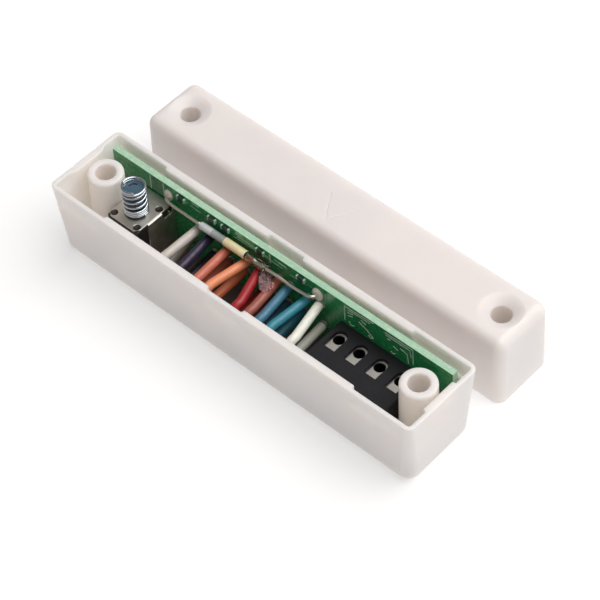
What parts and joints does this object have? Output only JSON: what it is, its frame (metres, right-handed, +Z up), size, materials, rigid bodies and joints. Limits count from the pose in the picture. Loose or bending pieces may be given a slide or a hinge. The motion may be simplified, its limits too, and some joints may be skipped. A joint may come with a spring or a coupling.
{
  "type": "door contact sensor",
  "caption": "Wired magnetic door contact: an open contact unit with reed switch, tamper switch, link wires and terminal block, beside its closed magnet unit.",
  "frame": {"origin": "middle of the pair's outline, on the surface that both units lie on", "axes": "+X along both units towards the terminal block end, +Y from the contact unit to the magnet unit, +Z up"},
  "size_m": [0.067, 0.0296, 0.0151],
  "materials": {
    "housing_white": "satin moulded",
    "board_green": "solder mask",
    "chip_ceramic": "printed chip",
    "solder": "tinned",
    "glass": "clear",
    "reed_metal": "plated",
    "band_cream": "painted",
    "glue": "clear adhesive",
    "switch_black": "moulded",
    "switch_metal": "satin",
    "pin_tin": "tinned",
    "dome_steel": "sprung",
    "plunger": "smooth",
    "spring_steel": "zinc plated",
    "terminal_black": "moulded",
    "terminal_metal": "plated",
    "wire_grey": "insulation",
    "wire_violet": "insulation",
    "wire_salmon": "insulation",
    "wire_orange": "insulation",
    "wire_red": "insulation",
    "wire_brown": "insulation",
    "wire_blue": "insulation",
    "wire_teal": "insulation",
    "wire_white": "insulation",
    "magnet": "ground ferrite",
    "magnet_glue": "hardened"
  },
  "bodies": {
    "contact_unit": {"contact_housing": "housing_white", "circuit_board": "board_green", "chip_resistors": "chip_ceramic", "solder_joints": "solder", "reed_glass": "glass", "reed_blade_fixed": "reed_metal", "reed_lead": "reed_metal", "reed_band": "band_cream", "glue_dab": "glue", "switch_base": "switch_black", "switch_cover": "switch_metal", "switch_bracket": "switch_metal", "switch_pins": "pin_tin", "switch_dome": "dome_steel", "tamper_spring": "spring_steel", "terminal_block_body": "terminal_black", "terminal_contacts": "terminal_metal", "link_wire_grey": "wire_grey", "link_wire_violet": "wire_violet", "link_wire_salmon": "wire_salmon", "link_wire_orange": "wire_orange", "link_wire_red": "wire_red", "link_wire_brown": "wire_brown", "link_wire_blue": "wire_blue", "link_wire_teal": "wire_teal", "link_wire_white": "wire_white", "link_wire_cores": "pin_tin"},
    "reed_blade": {"reed_blade_moving": "reed_metal"},
    "tamper_button": {"tamper_plunger": "plunger"},
    "clamp_screw_1": {"terminal_screw_1": "terminal_metal"},
    "clamp_screw_2": {"terminal_screw_2": "terminal_metal"},
    "clamp_screw_3": {"terminal_screw_3": "terminal_metal"},
    "clamp_screw_4": {"terminal_screw_4": "terminal_metal"},
    "clamp_cage_1": {"terminal_cage_1": "terminal_metal"},
    "clamp_cage_2": {"terminal_cage_2": "terminal_metal"},
    "clamp_cage_3": {"terminal_cage_3": "terminal_metal"},
    "clamp_cage_4": {"terminal_cage_4": "terminal_metal"},
    "magnet_unit": {"magnet_housing": "housing_white", "magnet_bar": "magnet", "magnet_glue": "magnet_glue"}
  },
  "joints": [
    {"name": "door_opening", "type": "slide", "parent": "contact_unit", "child": "magnet_unit", "axis": [0, 1, 0], "range_m": [0, 0.05]},
    {"name": "reed_contact", "type": "hinge", "parent": "contact_unit", "child": "reed_blade", "pos_m": [-0.0121, -0.00475, 0.01085], "axis": [0, 0, -1], "range_deg": [0, 1.6]},
    {"name": "tamper_press", "type": "slide", "parent": "contact_unit", "child": "tamper_button", "axis": [0, 0, -1], "range_m": [0, 0.0015], "stiffness_N_per_m": 300, "springref_m": -0.001, "deforming": ["tamper_spring"]},
    {"name": "clamp_screw_1_turn", "type": "hinge", "parent": "contact_unit", "child": "clamp_screw_1", "pos_m": [0.01348, -0.0109, 0.0054], "axis": [0, 1, 0], "range_deg": [0, 900]},
    {"name": "clamp_cage_1_rise", "type": "slide", "parent": "contact_unit", "child": "clamp_cage_1", "axis": [0, -1, 0], "range_m": [0, 0.001]},
    {"name": "clamp_screw_2_turn", "type": "hinge", "parent": "contact_unit", "child": "clamp_screw_2", "pos_m": [0.01714, -0.0109, 0.0054], "axis": [0, 1, 0], "range_deg": [0, 900]},
    {"name": "clamp_cage_2_rise", "type": "slide", "parent": "contact_unit", "child": "clamp_cage_2", "axis": [0, -1, 0], "range_m": [0, 0.001]},
    {"name": "clamp_screw_3_turn", "type": "hinge", "parent": "contact_unit", "child": "clamp_screw_3", "pos_m": [0.0208, -0.0109, 0.0054], "axis": [0, 1, 0], "range_deg": [0, 900]},
    {"name": "clamp_cage_3_rise", "type": "slide", "parent": "contact_unit", "child": "clamp_cage_3", "axis": [0, -1, 0], "range_m": [0, 0.001]},
    {"name": "clamp_screw_4_turn", "type": "hinge", "parent": "contact_unit", "child": "clamp_screw_4", "pos_m": [0.02446, -0.0109, 0.0054], "axis": [0, 1, 0], "range_deg": [0, 900]},
    {"name": "clamp_cage_4_rise", "type": "slide", "parent": "contact_unit", "child": "clamp_cage_4", "axis": [0, -1, 0], "range_m": [0, 0.001]}
  ],
  "couplings": [
    {"joint": "reed_contact", "follows": "door_opening", "rad_per_m": 0.55},
    {"joint": "clamp_screw_1_turn", "follows": "clamp_cage_1_rise", "rad_per_m": 15708},
    {"joint": "clamp_screw_2_turn", "follows": "clamp_cage_2_rise", "rad_per_m": 15708},
    {"joint": "clamp_screw_3_turn", "follows": "clamp_cage_3_rise", "rad_per_m": 15708},
    {"joint": "clamp_screw_4_turn", "follows": "clamp_cage_4_rise", "rad_per_m": 15708}
  ]
}
